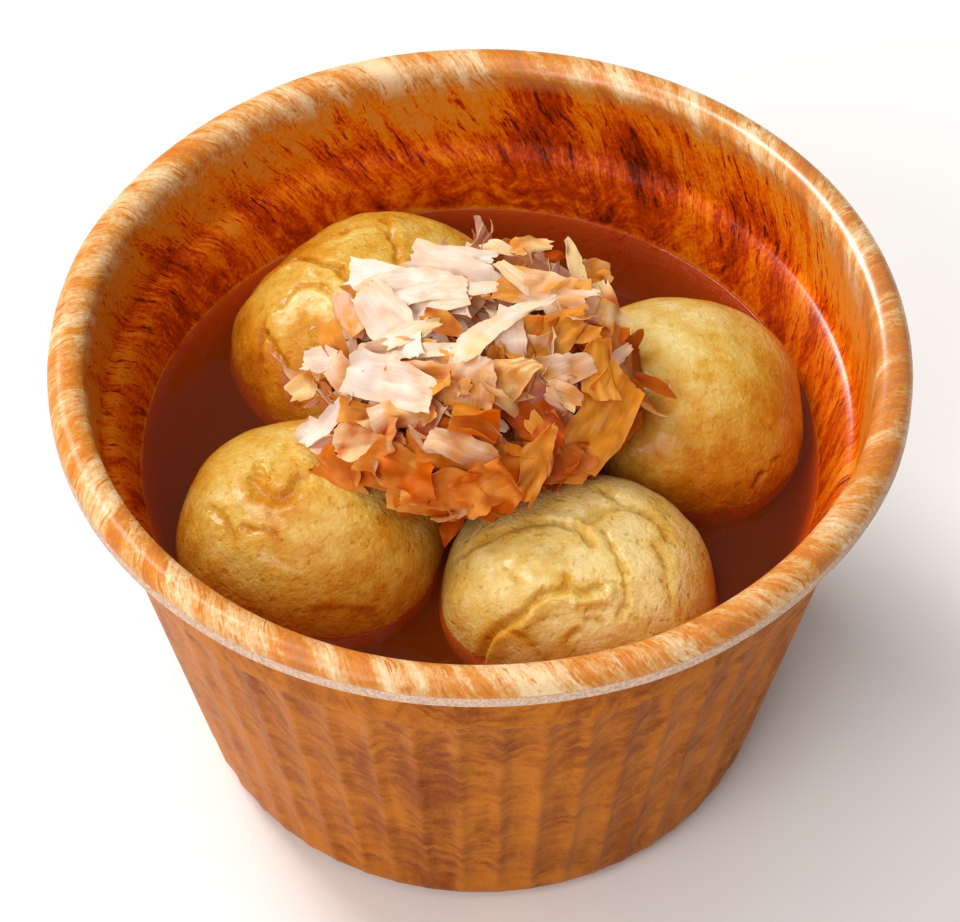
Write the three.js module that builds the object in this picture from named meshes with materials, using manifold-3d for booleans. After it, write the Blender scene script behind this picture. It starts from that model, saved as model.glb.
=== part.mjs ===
// Akashiyaki: four soft egg dumplings floating in brown dashi broth under a heap of bonito flakes,
// served in a round takeaway bowl pressed from foam sheet. The origin is the centre of the bowl's
// base, +Z is up and the unit is the millimetre.
import * as THREE from "three";
import { mergeVertices } from "three/addons/utils/BufferGeometryUtils.js";
import Module from "manifold-3d";

// Clearance kept between pieces that touch
const GAP = 0.35;

// Bowl: rolled lip and collar
const RIM_RADIUS = 65;
const RIM_HEIGHT = 78.5;
const LIP_HALF_WIDTH = 2.8;
const LIP_RISE = 2.4;
const EDGE_HEIGHT = 1.9;
const COLLAR_TOP_RADIUS = 60.6;
const COLLAR_FOOT_RADIUS = 60;
const LEDGE_HEIGHT = 64.8;
const LEDGE_SLOPE = 0.3;
const LIP_UNDERSIDE_STEP = 1.4;
const LIP_UNDERSIDE_RISE = 0.3;
const LIP_UNDERSIDE_DROP = 0.4;

// Bowl: fluted outer wall
const FLUTE_COUNT = 54;
const FLUTE_DEPTH = 0.9;
const WALL_TOP_RADIUS = 58.5;
const WALL_FOOT_RADIUS = 45.5;
const BASE_ROUNDING = 6.5;

// Bowl: base
const RECESS_RADIUS = 33;
const RECESS_DEPTH = 1;
const RECESS_SLOPE = 1.5;

// Bowl: inner wall, from the lip down to the floor
const GROOVE_RADIUS = 57.6;
const GROOVE_HEIGHT = 65.8;
const RIDGE_RADIUS = 55.6;
const RIDGE_HEIGHT = 64.8;
const FLOOR_HEIGHT = 3;
const FLOOR_ROUNDING = 6;
const FLOOR_WALL_RADIUS = 42.2;

// Broth
const BROTH_LEVEL = 56;
const BROTH_RADIUS = 51.9;

// Facets
const LATHE_SEGMENTS = 2 * FLUTE_COUNT;
const ARC_STEPS = 3;
const DUMPLING_SEGMENTS = 20;
const DUMPLING_RINGS = 13;
const HEAP_SEGMENTS = 24;
const HEAP_RINGS = 13;
const MERGE_TOLERANCE = 1e-4;

// Each dumpling is a squared-off ellipsoid: centre, half sizes along its own axes, turn about Z and
// dip of its first axis in degrees, and how square it is. Lobes swell it, or dent it where it leans
// on a neighbour: azimuth, elevation and spread in degrees, and height as a share of the radius.
const DUMPLINGS = {
  dumpling_back_left: {
    centre: [-17.2, 24.6, 54.6],
    half: [22.6, 19.4, 16.4],
    turn: 35,
    dip: -4,
    power: 2.25,
    lobes: [[150, 35, 32, -0.05], [95, 30, 28, 0.03], [30, 15, 26, 0.03]],
  },
  dumpling_right: {
    centre: [31.0, 7.3, 55.6],
    half: [19.0, 19.4, 17.2],
    turn: 0,
    dip: 0,
    power: 2.2,
    lobes: [[150, 25, 35, 0.03], [-116, -10, 36, -0.06], [-60, 25, 35, 0.03]],
  },
  dumpling_front_left: {
    centre: [-25.6, -16.2, 54.6],
    half: [20.2, 19.2, 16.4],
    turn: -20,
    dip: 0,
    power: 2.25,
    lobes: [[120, 25, 25, -0.02], [-60, 10, 35, 0.02], [200, -25, 35, -0.02]],
  },
  dumpling_front_right: {
    centre: [14.8, -26.6, 53.4],
    half: [20.6, 17.8, 15.6],
    turn: -6,
    dip: 0,
    power: 2.5,
    lobes: [[70, 48, 22, 0.09], [64, -8, 36, -0.05], [150, 45, 30, -0.02], [-90, -30, 40, -0.06]],
  },
};

// Heap of flakes: a flat-bottomed mound with an uneven outline, lying on the dumplings
const HEAP_CENTRE = [0, 1, 68];
const HEAP_HALF = [25.5, 23, 19];
const HEAP_LOWER_HALF = 9;
const HEAP_LOBES = [
  [145, 40, 26, 0.1],
  [50, 38, 26, 0.12],
  [-20, 20, 24, 0.06],
  [-100, -2, 24, 0.2],
  [-165, 10, 22, 0.1],
  [15, 50, 20, -0.06],
  [-60, 35, 20, -0.07],
  [100, 10, 22, -0.05],
];

const wasm = await Module();
wasm.setup();

// ---------------------------------------------------------------- shapes

// Points of an elliptical arc, without its first point
function arc(centreR, centreZ, halfR, halfZ, fromDegrees, toDegrees, steps) {
  const points = [];
  for (let i = 1; i <= steps; i += 1) {
    const angle = THREE.MathUtils.degToRad(fromDegrees + ((toDegrees - fromDegrees) * i) / steps);
    points.push([centreR + halfR * Math.cos(angle), centreZ + halfZ * Math.sin(angle)]);
  }
  return points;
}

// A closed solid turned about the Z axis from [radius, height] points that begin and end on it
function turned(profile, segments) {
  const points = profile.map(([radius, height]) => new THREE.Vector2(radius, height));
  const geometry = new THREE.LatheGeometry(points, segments);
  geometry.rotateX(Math.PI / 2);
  return geometry;
}

function direction(azimuth, elevation) {
  const turn = THREE.MathUtils.degToRad(azimuth);
  const lift = THREE.MathUtils.degToRad(elevation);
  return new THREE.Vector3(
    Math.cos(lift) * Math.cos(turn),
    Math.cos(lift) * Math.sin(turn),
    Math.sin(lift),
  );
}

// How much the lobes swell or dent a rounded form in one direction
function lobeFactor(ray, lobes) {
  let factor = 1;
  for (const [azimuth, elevation, spread, height] of lobes) {
    const falloff = 1 - Math.cos(THREE.MathUtils.degToRad(spread));
    factor += height * Math.exp((ray.dot(direction(azimuth, elevation)) - 1) / falloff);
  }
  return factor;
}

// A closed rounded solid: radiusAt gives its radius in each direction from the centre
function roundedForm(centre, radiusAt, segments, rings) {
  const geometry = new THREE.SphereGeometry(1, segments, rings);
  geometry.rotateX(Math.PI / 2);
  const position = geometry.getAttribute("position");
  const ray = new THREE.Vector3();
  for (let i = 0; i < position.count; i += 1) {
    ray.fromBufferAttribute(position, i).normalize();
    ray.multiplyScalar(radiusAt(ray));
    position.setXYZ(i, ray.x, ray.y, ray.z);
  }
  geometry.translate(...centre);
  return geometry;
}

// ---------------------------------------------------------------- cuts

function toSolid(geometry) {
  const bare = geometry.clone();
  bare.deleteAttribute("normal");
  bare.deleteAttribute("uv");
  const merged = mergeVertices(bare, MERGE_TOLERANCE);
  const vertProperties = new Float32Array(merged.getAttribute("position").array);
  const triVerts = new Uint32Array(merged.getIndex().array);
  return new wasm.Manifold(new wasm.Mesh({ numProp: 3, vertProperties, triVerts }));
}

function toGeometry(solid) {
  const mesh = solid.getMesh();
  const geometry = new THREE.BufferGeometry();
  geometry.setAttribute("position", new THREE.BufferAttribute(mesh.vertProperties, 3));
  geometry.setIndex(new THREE.BufferAttribute(mesh.triVerts, 1));
  geometry.computeVertexNormals();
  return geometry;
}

// ---------------------------------------------------------------- bowl

// Inner wall from the floor's axis up to the broth's level, moved inward by a clearance
function innerWallToLevel(clearance) {
  const foot = arc(
    FLOOR_WALL_RADIUS - FLOOR_ROUNDING - clearance,
    FLOOR_HEIGHT + FLOOR_ROUNDING + clearance,
    FLOOR_ROUNDING,
    FLOOR_ROUNDING,
    -90,
    0,
    ARC_STEPS,
  );
  return [
    [0, FLOOR_HEIGHT + clearance],
    [FLOOR_WALL_RADIUS - FLOOR_ROUNDING - clearance, FLOOR_HEIGHT + clearance],
    ...foot,
    [BROTH_RADIUS - clearance, BROTH_LEVEL],
  ];
}

function makeBowl() {
  const base = [
    [0, RECESS_DEPTH],
    [RECESS_RADIUS, RECESS_DEPTH],
    [RECESS_RADIUS + RECESS_SLOPE, 0],
    [WALL_FOOT_RADIUS - BASE_ROUNDING, 0],
  ];
  const rounding = arc(
    WALL_FOOT_RADIUS - BASE_ROUNDING, BASE_ROUNDING, BASE_ROUNDING, BASE_ROUNDING, -90, 0, ARC_STEPS,
  );
  const edgeFoot = RIM_HEIGHT - EDGE_HEIGHT;
  const collar = [
    [WALL_TOP_RADIUS, LEDGE_HEIGHT - LEDGE_SLOPE],
    [COLLAR_FOOT_RADIUS, LEDGE_HEIGHT],
    [COLLAR_TOP_RADIUS, edgeFoot - LIP_UNDERSIDE_DROP],
    [COLLAR_TOP_RADIUS + LIP_UNDERSIDE_STEP, edgeFoot + LIP_UNDERSIDE_RISE],
    [RIM_RADIUS, edgeFoot],
    [RIM_RADIUS, RIM_HEIGHT],
  ];
  const lip = arc(
    RIM_RADIUS - LIP_HALF_WIDTH, RIM_HEIGHT, LIP_HALF_WIDTH, LIP_RISE, 0, 180, ARC_STEPS + 1,
  );
  const inside = [
    [GROOVE_RADIUS, GROOVE_HEIGHT],
    [RIDGE_RADIUS, RIDGE_HEIGHT],
    ...innerWallToLevel(0).reverse(),
  ];
  const profile = [...base, ...rounding, ...collar, ...lip, ...inside];
  const geometry = turned(profile, LATHE_SEGMENTS);

  // Every second line of the fluted wall is pressed in, from the base rounding up to the ledge
  const firstFluted = base.length + 1;
  const lastFluted = base.length + rounding.length;
  const position = geometry.getAttribute("position");
  for (let line = 1; line <= LATHE_SEGMENTS; line += 2) {
    for (let row = firstFluted; row <= lastFluted; row += 1) {
      const index = line * profile.length + row;
      const pressed = 1 - FLUTE_DEPTH / profile[row][0];
      position.setX(index, position.getX(index) * pressed);
      position.setY(index, position.getY(index) * pressed);
    }
  }
  return geometry;
}

// ---------------------------------------------------------------- food

function dumplingRadius({ half, turn, dip, power, lobes }) {
  const axes = new THREE.Euler(0, THREE.MathUtils.degToRad(dip), THREE.MathUtils.degToRad(turn), "ZYX");
  const unturn = new THREE.Quaternion().setFromEuler(axes).invert();
  return (ray) => {
    const own = ray.clone().applyQuaternion(unturn);
    const sum =
      Math.abs(own.x / half[0]) ** power +
      Math.abs(own.y / half[1]) ** power +
      Math.abs(own.z / half[2]) ** power;
    return lobeFactor(ray, lobes) * sum ** (-1 / power);
  };
}

// A dumpling's body, or with a clearance the larger form that cuts its neighbours
function makeDumpling(form, clearance) {
  const radiusAt = dumplingRadius(form);
  return roundedForm(
    form.centre, (ray) => radiusAt(ray) + clearance, DUMPLING_SEGMENTS, DUMPLING_RINGS,
  );
}

function cutRoundDumplings(geometry) {
  let solid = toSolid(geometry);
  for (const form of Object.values(DUMPLINGS)) {
    solid = solid.subtract(toSolid(makeDumpling(form, GAP)));
  }
  return toGeometry(solid);
}

function makeBroth() {
  const profile = [...innerWallToLevel(GAP), [0, BROTH_LEVEL]];
  return cutRoundDumplings(turned(profile, FLUTE_COUNT));
}

function makeFlakes() {
  const radiusAt = (ray) => {
    const halfZ = ray.z > 0 ? HEAP_HALF[2] : HEAP_LOWER_HALF;
    const round = 1 / Math.hypot(ray.x / HEAP_HALF[0], ray.y / HEAP_HALF[1], ray.z / halfZ);
    return round * lobeFactor(ray, HEAP_LOBES);
  };
  return cutRoundDumplings(roundedForm(HEAP_CENTRE, radiusAt, HEAP_SEGMENTS, HEAP_RINGS));
}

// ---------------------------------------------------------------- materials and assembly

const printedFoam = new THREE.MeshStandardMaterial({ color: 0xb8702f, roughness: 0.35, metalness: 0 });
const dashi = new THREE.MeshStandardMaterial({ color: 0x6b2a10, roughness: 0.05, metalness: 0 });
const eggBatter = new THREE.MeshStandardMaterial({ color: 0xe0b866, roughness: 0.4, metalness: 0 });
const driedBonito = new THREE.MeshStandardMaterial({ color: 0xe6bd98, roughness: 0.5, metalness: 0 });

function addPiece(group, name, geometry, material) {
  const mesh = new THREE.Mesh(geometry, material);
  mesh.name = name;
  group.add(mesh);
}

const akashiyaki = new THREE.Group();
addPiece(akashiyaki, "bowl", makeBowl(), printedFoam);
addPiece(akashiyaki, "broth", makeBroth(), dashi);
for (const [name, form] of Object.entries(DUMPLINGS)) {
  addPiece(akashiyaki, name, makeDumpling(form, 0), eggBatter);
}
addPiece(akashiyaki, "bonito_flakes", makeFlakes(), driedBonito);

export default akashiyaki;
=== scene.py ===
import math

import bpy
import numpy as np
from mathutils import Matrix, Vector, noise


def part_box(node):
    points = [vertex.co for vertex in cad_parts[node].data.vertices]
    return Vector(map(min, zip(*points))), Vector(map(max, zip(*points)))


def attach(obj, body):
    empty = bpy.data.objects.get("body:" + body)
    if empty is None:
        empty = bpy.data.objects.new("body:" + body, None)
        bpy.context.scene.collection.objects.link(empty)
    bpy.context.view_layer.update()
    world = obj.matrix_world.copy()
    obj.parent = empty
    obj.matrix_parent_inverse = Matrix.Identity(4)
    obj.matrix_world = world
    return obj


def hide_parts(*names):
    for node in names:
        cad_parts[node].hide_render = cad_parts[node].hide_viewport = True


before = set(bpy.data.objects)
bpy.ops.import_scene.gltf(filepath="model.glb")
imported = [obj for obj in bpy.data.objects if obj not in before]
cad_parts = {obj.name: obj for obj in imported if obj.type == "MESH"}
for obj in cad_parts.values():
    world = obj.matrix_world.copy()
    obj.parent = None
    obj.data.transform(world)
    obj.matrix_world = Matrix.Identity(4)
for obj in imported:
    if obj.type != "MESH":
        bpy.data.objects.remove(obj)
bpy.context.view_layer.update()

# ------------------------------------------------------------------------------------- camera
# It looks down on the bowl from the front through a long lens, from a little above the height of
# someone sitting at the table, so that the rim is a wide oval and the front wall still shows.
_, bowl_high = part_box("bowl")
lip_rise = 0.0024
rim_height = bowl_high.z - lip_rise

camera_distance = 0.7
camera_rise = math.radians(48.14)
camera_dip = math.radians(49.42)
camera_data = bpy.data.cameras.new("camera")
camera_data.sensor_width = 36
camera_data.lens = 175.1
camera = bpy.data.objects.new("camera", camera_data)
camera.location = (
    0,
    -camera_distance * math.cos(camera_rise),
    rim_height + camera_distance * math.sin(camera_rise),
)
camera.rotation_euler = (math.pi / 2 - camera_dip, 0, 0)
bpy.context.scene.collection.objects.link(camera)
bpy.context.scene.camera = camera
bpy.context.scene.view_settings.view_transform = "Standard"


# --------------------------------------------------------------------------------------- bowl
# A round takeaway bowl pressed in one go from foam sheet about 2 mm thick, with a glossy film of
# printed wood grain on both faces. The press leaves a rolled lip, a collar and a fluted wall, and
# the knife leaves a white edge round the lip where the foam shows.
class Signal:
    """One socket of a finish. Arithmetic on it adds the Math nodes that work it out."""

    def __init__(self, finish, socket):
        self.finish = finish
        self.socket = socket

    def worked(self, operation, *values):
        return self.finish.node("ShaderNodeMath", {"operation": operation}, dict(enumerate(values)))

    def __add__(self, other):
        return self.worked("ADD", self, other)

    __radd__ = __add__

    def __sub__(self, other):
        return self.worked("SUBTRACT", self, other)

    def __rsub__(self, other):
        return self.worked("SUBTRACT", other, self)

    def __mul__(self, other):
        return self.worked("MULTIPLY", self, other)

    __rmul__ = __mul__

    def between(self, low, high):
        """0 at low, 1 at high, and eased in between. low may be the larger of the two."""
        values = {"Value": self, "From Min": low, "From Max": high}
        return self.finish.node("ShaderNodeMapRange", {"interpolation_type": "SMOOTHSTEP"}, values)


class Finish:
    """A material being made. Every node comes from node()."""

    def __init__(self, name):
        self.material = bpy.data.materials.new(name)
        self.material.use_nodes = True
        self.tree = self.material.node_tree
        self.tree.nodes.clear()

    def node(self, kind, settings=None, inputs=None, output=0):
        """Adds a node, gives it its settings, then its values or links, and hands back an output."""
        made = self.tree.nodes.new(kind)
        settings = dict(settings or {})
        stops = settings.pop("stops", [])
        if stops:
            made.color_ramp.elements.remove(made.color_ramp.elements[1])
            made.color_ramp.elements[0].position, made.color_ramp.elements[0].color = stops[0]
        for place, colour in stops[1:]:
            made.color_ramp.elements.new(place).color = colour
        for key, value in settings.items():
            setattr(made, key, value)
        for key, value in (inputs or {}).items():
            if isinstance(value, Signal):
                self.tree.links.new(value.socket, made.inputs[key])
            else:
                made.inputs[key].default_value = value
        return Signal(self, made.outputs[output]) if made.outputs else None

    def vector(self, operation, *values, scale=None):
        inputs = dict(enumerate(values))
        if scale is not None:
            inputs["Scale"] = scale
        return self.node("ShaderNodeVectorMath", {"operation": operation}, inputs)

    def blend(self, amount, under, over):
        """The colour under, covered by the colour over as far as amount says."""
        settings = {"data_type": "RGBA", "clamp_factor": True}
        return self.node("ShaderNodeMix", settings, {0: amount, 6: under, 7: over}, output=2)

    def clouds(self, vector, scale, detail=2.0, roughness=0.5, output=0):
        inputs = {"Vector": vector, "Scale": scale, "Detail": detail, "Roughness": roughness}
        return self.node("ShaderNodeTexNoise", None, inputs, output)

    def streaks(self, vector, fineness, detail, roughness):
        """Clouds with a fineness of their own along each axis."""
        return self.clouds(self.vector("MULTIPLY", vector, fineness), 1, detail, roughness)

    def shifted(self, vector, by, scale, detail, reach):
        """The places in vector, pushed about by clouds at by, up to half of reach along each axis."""
        push = self.vector("SUBTRACT", self.clouds(by, scale, detail, output=1), (0.5, 0.5, 0.5))
        return self.vector("ADD", vector, self.vector("SCALE", push, scale=reach))

    def attribute(self, name, output="Fac"):
        return self.node("ShaderNodeAttribute", {"attribute_name": name}, output=output)

    def relief(self, height, depth):
        return self.node("ShaderNodeBump", None, {"Height": height, "Distance": depth})

    def done(self, shader, **volume):
        self.node("ShaderNodeOutputMaterial", None, {"Surface": shader, **volume})
        return self.material


def ink(red, green, blue):
    """A screen colour, 0 to 255, as the linear colour that a shader takes."""
    linear = []
    for value in (red, green, blue):
        share = value / 255
        linear.append(share / 12.92 if share <= 0.04045 else ((share + 0.055) / 1.055) ** 2.4)
    return (*linear, 1.0)


def made_piece(name, points, faces, material, measures):
    """A smooth piece. measures are a number, a vector or a colour for each point, kept by name."""
    kinds = {1: ("FLOAT", "value"), 3: ("FLOAT_VECTOR", "vector"), 4: ("FLOAT_COLOR", "color")}
    mesh = bpy.data.meshes.new(name)
    mesh.from_pydata(points.tolist(), [], faces)
    mesh.shade_smooth()
    for key, values in measures.items():
        kind, slot = kinds[values.shape[1]]
        mesh.attributes.new(key, kind, "POINT").data.foreach_set(slot, values.ravel())
    mesh.materials.append(material)
    piece = bpy.data.objects.new(name, mesh)
    bpy.context.scene.collection.objects.link(piece)
    return piece


def closed_skin(name, rows, material, measures=None):
    """A piece from rows of points that go all the way round, closed by a point in the middle of the
    first and of the last. Rows that rise on the outside face out. measures are given for the rows."""
    row_count, around, _ = rows.shape
    points = np.vstack([rows[0].mean(axis=0), rows.reshape(-1, 3), rows[-1].mean(axis=0)])
    here = 1 + np.arange(row_count * around).reshape(row_count, around)
    beside = np.roll(here, -1, axis=1)
    quads = np.stack([here[:-1], beside[:-1], beside[1:], here[1:]], axis=-1).reshape(-1, 4)
    last = len(points) - 1
    start_fan = [(0, b, a) for a, b in zip(here[0].tolist(), beside[0].tolist())]
    end_fan = [(last, a, b) for a, b in zip(here[-1].tolist(), beside[-1].tolist())]
    kept = {}
    for key, values in (measures or {}).items():
        values = np.asarray(values, dtype=float).reshape(row_count * around, -1)
        kept[key] = np.vstack([values[:1], values, values[-1:]])
    return made_piece(name, points, quads.tolist() + start_fan + end_fan, material, kept)


def rounded_path(corners, longest_step):
    """Points along a path of (radius, height, rounding) corners, each corner eased to its rounding."""
    nearly_straight = math.radians(88)
    arc_step = math.radians(15)
    path = [np.array(corners[0][:2])]
    for before, corner, after in zip(corners, corners[1:], corners[2:]):
        at = np.array(corner[:2])
        back = np.array(before[:2]) - at
        ahead = np.array(after[:2]) - at
        back /= np.linalg.norm(back)
        ahead /= np.linalg.norm(ahead)
        half_angle = math.acos(np.clip(back @ ahead, -1, 1)) / 2
        if corner[2] <= 0 or half_angle > nearly_straight:
            path.append(at)
            continue
        cut_back = corner[2] / math.tan(half_angle)
        middle = at + (back + ahead) / np.linalg.norm(back + ahead) * corner[2] / math.sin(half_angle)
        start = at + back * cut_back - middle
        end = at + ahead * cut_back - middle
        sweep = math.atan2(start[0] * end[1] - start[1] * end[0], start @ end)
        steps = max(2, round(abs(sweep) / arc_step))
        for k in range(steps + 1):
            angle = sweep * k / steps
            swing = np.array([[math.cos(angle), -math.sin(angle)], [math.sin(angle), math.cos(angle)]])
            path.append(middle + swing @ start)
    path.append(np.array(corners[-1][:2]))
    fine = [path[0]]
    for a, b in zip(path, path[1:]):
        pieces = max(1, math.ceil(np.linalg.norm(b - a) / longest_step))
        fine += [a + (b - a) * k / pieces for k in range(1, pieces + 1)]
    return np.array(fine)


flute_count = 54
flute_depth = 0.0009
flute_foot = (0.0008, 0.009)  # the heights over which they deepen
flute_top = (0.0615, 0.0640)  # and fade out again
rib_half_width = 0.17  # as a share of a flute
points_per_flute = 10
rim_radius = bowl_high.x
lip_half_width = 0.0028
edge_height = 0.0019
ledge_height = 0.0648
_, broth_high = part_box("broth")
broth_level = broth_high.z
gap_to_wall = 0.00035
wall_at_broth = broth_high.x + gap_to_wall
floor_height = 0.003
base_recess = 0.0010
axis_gap = 0.0001

outside_corners = [
    (axis_gap, base_recess, 0),
    (0.0330, base_recess, 0.0006),
    (0.0345, 0.0, 0.0006),
    (0.0442, 0.0, 0.0062),
    (0.0585, ledge_height - 0.0004, 0.0005),
    (0.0600, ledge_height, 0.0005),
    (0.0606, rim_height - edge_height - 0.0005, 0.0006),
    (0.0620, rim_height - edge_height + 0.0003, 0.0005),
    (rim_radius, rim_height - edge_height, 0.00015),
    (rim_radius, rim_height, 0),
]
lip_angles = np.radians(np.arange(4, 180, 8))
lip = np.stack([
    rim_radius - lip_half_width * (1 - np.cos(lip_angles)),
    rim_height + lip_rise * np.sin(lip_angles),
], axis=1)
groove_radius = 0.0576
groove_height = 0.0658
ridge_radius = 0.0556
inside_corners = [
    (rim_radius - 2 * lip_half_width, rim_height, 0),
    (groove_radius, groove_height, 0.0019),
    (ridge_radius, groove_height - 0.0010, 0.0032),
    (wall_at_broth, broth_level, 0.02),
    (0.0410, floor_height, 0.006),
    (axis_gap, floor_height, 0),
]
outside = rounded_path(outside_corners, longest_step=0.0025)
inside = rounded_path(inside_corners, longest_step=0.0018)
profile = np.vstack([outside, lip, inside])
run = np.concatenate([[0], np.cumsum(np.linalg.norm(np.diff(profile, axis=0), axis=1))])
is_outside = np.arange(len(profile)) < len(outside)
is_inside = np.arange(len(profile)) >= len(outside) + len(lip)
on_lip = ~is_outside & ~is_inside

turn = np.linspace(0, 2 * math.pi, flute_count * points_per_flute, endpoint=False)
around_rib = (turn * flute_count / (2 * math.pi) + 0.5) % 1 - 0.5
rib = np.exp(-(around_rib / rib_half_width) ** 2)
height = profile[:, 1]


def eased(value, low, high):
    """0 below low, 1 above high, and eased in between."""
    share = np.clip((value - low) / (high - low), 0, 1)
    return share * share * (3 - 2 * share)


def to_all_round(values):
    """The value of each row, given to every point of the row."""
    values = np.asarray(values, dtype=float).reshape(len(values), -1)
    return np.broadcast_to(values, (len(values), len(turn)))


def carried(reach, rise):
    """Rows of points that far out from the axis in each direction, and that high."""
    return np.stack([
        to_all_round(reach) * np.cos(turn)[None, :],
        to_all_round(reach) * np.sin(turn)[None, :],
        to_all_round(rise),
    ], axis=-1)


fluted = eased(height, *flute_foot) * (1 - eased(height, *flute_top)) * is_outside
radius = profile[:, 0, None] - flute_depth * fluted[:, None] * (1 - rib[None, :])
# No bowl comes out of the press quite round
wobble = 0.00018 * np.sin(3 * turn + 0.7) + 0.00012 * np.sin(5 * turn + 2.1)
radius = radius - np.abs(wobble)[None, :] * eased(height, 0.02, rim_height)[:, None]

# How far each point lay from the middle of the flat printed sheet before the press stretched it
unstretched = 0.62
draw = unstretched * np.where(is_outside, run, run[-1] - run)
draw = np.where(on_lip, draw.max(), draw)
on_edge = is_outside & (profile[:, 0] > rim_radius - 0.0002)
on_edge &= height > rim_height - edge_height - 0.00005
azimuth_here = np.degrees(turn)


def patch(azimuth, width):
    """1 at that azimuth, fading to 0 at about the width away."""
    away = (azimuth_here - azimuth + 180) % 360 - 180
    return np.exp(-((away / width) ** 2))[None, :]


# How dark the print is: pale on the lip, where the film is stretched over the roll and where a
# painted sheen stands in for the light the lip catches, and darker down the inside, partly a
# painted shade of the hollow, with a dark band about the groove and darkest low on the wall
lip_to_groove = np.interp(
    height, [0.0560, 0.0600, 0.0630, 0.0648, 0.0660, 0.0685, 0.0720, 0.0762, 0.0782],
    [0.72, 0.73, 0.66, 0.64, 0.66, 0.56, 0.46, 0.41, 0.30],
)
inner_tone = np.where(height > 0.0560, lip_to_groove, 0.4)
# Outside, the print darkens up the collar towards the lip, a painted shade of the lip above it, and is paler
# along the ledge
outer_tone = np.interp(
    height, [0.0, 0.012, 0.050, ledge_height - 0.001, ledge_height, 0.0660, 0.0745],
    [0.58, 0.56, 0.56, 0.58, 0.44, 0.56, 0.60],
)
tone = np.where(is_outside, outer_tone, np.where(is_inside, inner_tone, 0.28))[:, None]
# Paler on the lip and the top of the inner wall at the back: a painted sheen where the lamp behind shines on
# the film
tone = tone - 0.12 * (~is_outside * eased(height, 0.0765, 0.0785))[:, None] * patch(100, 45)
# Paler inside on the left, at the back and on the right: painted light for the light that falls on those
# parts of the wall
tone = tone + is_inside[:, None] * (-0.06 * patch(200, 50) - 0.03 * patch(110, 22) - 0.08 * patch(0, 30))
# The dark figure of the wood, which crosses the wall at the back and fades out over the lip
upper_wall = eased(height, 0.060, 0.068) * is_inside
tone = tone + (upper_wall + 0.3 * on_lip)[:, None] * (
    0.32 * patch(81, 5) + 0.22 * patch(63, 7) + 0.16 * patch(42, 6) + 0.08 * patch(150, 9)
)
# Paler outside on the left, a painted sheen, and at the front right, painted light
tone = tone - is_outside[:, None] * (0.15 * patch(213, 22) + 0.06 * patch(305, 25))


def print_finish():
    finish = Finish("printed_foam")
    place = finish.node("ShaderNodeTexCoord", output="Object")
    film = finish.attribute("film", "Vector")
    flat_sheet = finish.attribute("flat_sheet", "Vector")
    tone_here = finish.attribute("tone")
    edge = finish.attribute("edge")
    level_grain = finish.attribute("level_grain")

    # Hairs and dark strokes of the print, drawn out down the wall by the press. They lean and bend.
    leaning = finish.shifted(film, by=place, scale=70, detail=2, reach=0.006)
    hairs = finish.streaks(leaning, (3600, 3600, 420), 2, 0.5)
    strokes = finish.streaks(leaning, (1300, 1300, 210), 3, 0.65)
    locks = finish.streaks(leaning, (360, 360, 75), 4, 0.65)
    bands = finish.streaks(leaning, (150, 150, 32), 3, 0.55)

    # Grain of the flat sheet, all one way, and the figure of the wood in soft clouds
    warped = finish.shifted(flat_sheet, by=flat_sheet, scale=70, detail=3, reach=0.012)
    grain = finish.streaks(warped, (230, 800, 1), 3, 0.6)
    figure = finish.clouds(warped, 75, 3, 0.6)
    fuzz = finish.clouds(place, 1500, 2, 0.75)

    # All of it only makes the tone darker or paler, and the inks follow the tone
    drawn = (hairs - 0.5) * 0.46 + strokes.between(0.55, 0.68) * 0.34 + (locks - 0.5) * 0.95
    level = (grain - 0.5) * 0.9 + (figure - 0.5) * 0.6
    tone_now = tone_here + drawn * (1 - level_grain * 0.8) + level * level_grain
    palest = finish.attribute("palest")
    tone_now = tone_now + (bands - 0.5) * (1.3 - palest * 1.9) + (fuzz - 0.5) * 0.4
    tone_now = tone_now.worked("MAXIMUM", tone_now, palest)
    stops = [
        (0.0, ink(238, 204, 158)),
        (0.2, ink(220, 166, 106)),
        (0.36, ink(208, 132, 50)),
        (0.46, ink(224, 126, 8)),
        (0.58, ink(216, 98, 0)),
        (0.72, ink(186, 58, 0)),
        (1.0, ink(90, 22, 0)),
    ]
    tan = finish.node("ShaderNodeValToRGB", {"stops": stops}, {"Fac": tone_now})
    tan = finish.blend(tone_now.between(0.34, 0.6) * (1 - palest * 3.3), tan, ink(190, 116, 56))
    brown = finish.blend(tone_now.between(0.25, 0.9), ink(196, 114, 22), ink(134, 60, 2))
    tan = finish.blend(finish.attribute("dull"), tan, brown)
    crumb = finish.clouds(place, 1900, 2, 0.6)
    foam = finish.blend(crumb.between(0.3, 0.7), ink(196, 160, 136), ink(230, 200, 178))
    colour = finish.blend(edge, tan, foam)

    dents = finish.clouds(place, 750, 2, 0.6)
    surface = finish.node("ShaderNodeBsdfPrincipled", None, {
        "Base Color": colour,
        "Roughness": 0.42 + edge * 0.5,
        "Specular IOR Level": 0.06,
        "Coat Weight": finish.attribute("gloss"),
        "Coat Roughness": 0.26,
        "Coat IOR": 2.6,
        "Normal": finish.relief(dents, 0.00018),
    })
    return finish.done(surface)


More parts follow.
